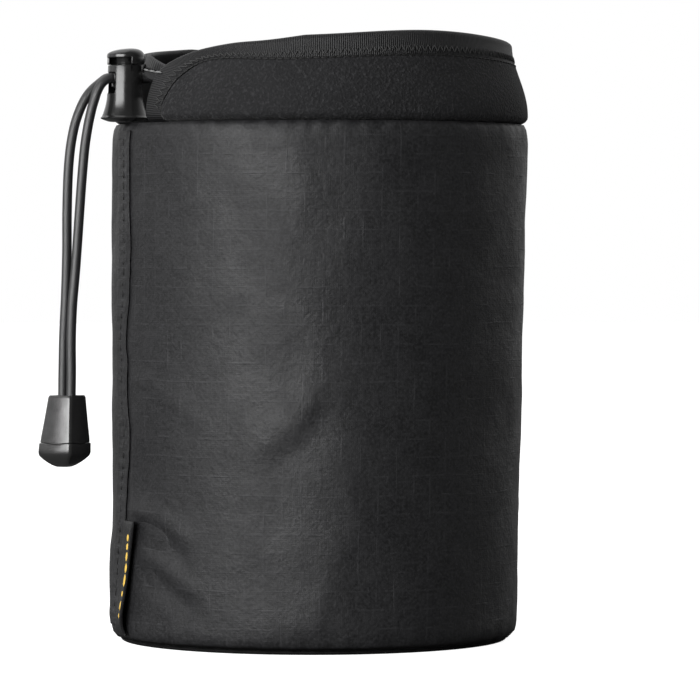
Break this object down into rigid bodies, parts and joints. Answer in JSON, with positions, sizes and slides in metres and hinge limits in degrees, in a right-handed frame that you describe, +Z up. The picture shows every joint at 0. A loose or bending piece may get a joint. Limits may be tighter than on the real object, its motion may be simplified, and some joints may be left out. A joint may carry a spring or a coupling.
{
  "type": "slip-on lens cover",
  "caption": "Padded cylindrical lens pouch with a closed round base, a notched stretch collar, and a hem drawcord with push-button cord lock and cord end.",
  "frame": {"origin": "centre of the base's underside, on the surface that the pouch stands on", "axes": "+Z up along the sleeve's axis to the open end, -Y towards the picture's camera, +X to its right; the seam, notch and cord lock are at 68 degrees from -Y towards -X"},
  "size_m": [0.1488, 0.1294, 0.1862],
  "materials": {
    "ripstop_shell": "black ripstop nylon with a faint square grid",
    "stretch_knit": "black stretch knit, matte and slightly fuzzy",
    "binding_tape": "black woven tape",
    "foam": "closed-cell foam padding",
    "lining_cloth": "charcoal brushed lining",
    "stiffener_board": "plain plastic stiffener sheet",
    "cord_braid": "braided sheath over elastic",
    "lock_plastic": "glossy black moulded plastic",
    "cord_end_plastic": "satin black moulded plastic",
    "spring_steel": "bright spring wire",
    "label_ribbon": "black satin ribbon with plain yellow dashes"
  },
  "bodies": {
    "pouch": {"outer_shell": "ripstop_shell", "side_padding": "foam", "side_lining": "lining_cloth", "side_seam_strip": "ripstop_shell", "side_label": "label_ribbon", "base_binding": "binding_tape", "base_panel": "ripstop_shell", "base_board": "stiffener_board", "base_padding": "foam", "base_lining": "lining_cloth", "collar_band": "stretch_knit", "collar_lining": "lining_cloth", "rim_hem": "stretch_knit", "drawcord_loop": "cord_braid", "lock_housing": "lock_plastic", "lock_spring": "spring_steel"},
    "lock_button": {"lock_plunger": "lock_plastic"},
    "cord_tail": {"drawcord_front_strand": "cord_braid", "drawcord_back_strand": "cord_braid", "drawcord_knot": "cord_braid", "cord_end_shell": "cord_end_plastic", "cord_end_plug": "cord_end_plastic"}
  },
  "joints": [
    {"name": "button_press", "type": "slide", "parent": "pouch", "child": "lock_button", "axis": [0, 0, -1], "range_m": [0, 0.002], "stiffness_N_per_m": 800, "springref_m": -0.003, "deforming": ["lock_spring"]},
    {"name": "tail_swing", "type": "hinge", "parent": "pouch", "child": "cord_tail", "pos_m": [-0.06435, -0.026, 0.1742], "axis": [-0.3746, 0.9272, 0], "range_deg": [-4, 75], "deforming": ["drawcord_front_strand", "drawcord_back_strand"]}
  ]
}
